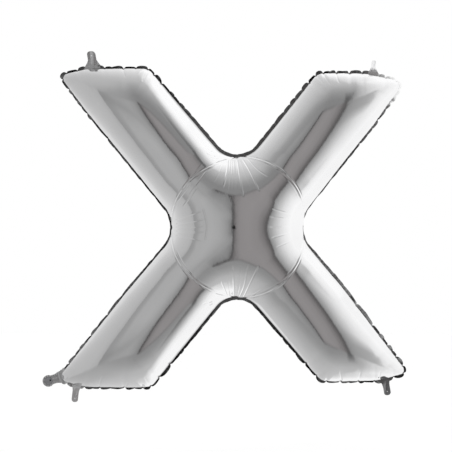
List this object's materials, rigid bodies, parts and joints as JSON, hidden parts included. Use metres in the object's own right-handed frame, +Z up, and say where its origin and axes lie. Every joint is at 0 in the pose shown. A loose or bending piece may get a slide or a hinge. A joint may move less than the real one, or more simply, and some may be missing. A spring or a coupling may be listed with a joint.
{
  "type": "letter foil balloon",
  "caption": "Filled metallised-film balloon shaped as the letter X, two welded sheets with a narrow border, thread tabs at the corners and a flat filling neck.",
  "frame": {"origin": "in the plane of the weld, in the middle of the crossing of the two strokes, where the letter is held in the air", "axes": "+X to the reader's right along the letter's width, +Z up along its height, the reader at -Y, so Y is through its thickness"},
  "size_m": [1.001, 0.2856, 0.9631],
  "materials": {
    "silver_foil": "silver metallised film, mirror bright, drawn tight, with creases round the folds",
    "tab_foil": "the same metallised film, flat and crinkled, duller than the filled sheets",
    "valve_film": "grey plastic film of the valve, seen at the end of the neck"
  },
  "bodies": {
    "root": {"front_panel": "silver_foil", "back_panel": "silver_foil", "seam_top_left": "silver_foil", "seam_top_right": "silver_foil", "seam_bottom_left": "silver_foil", "seam_bottom_right": "silver_foil", "hanging_tab_top_left": "tab_foil", "hanging_tab_top_right": "tab_foil", "hanging_tab_bottom_left": "tab_foil", "hanging_tab_bottom_right": "tab_foil", "inflation_neck": "tab_foil", "inflation_valve": "valve_film"}
  },
  "joints": []
}
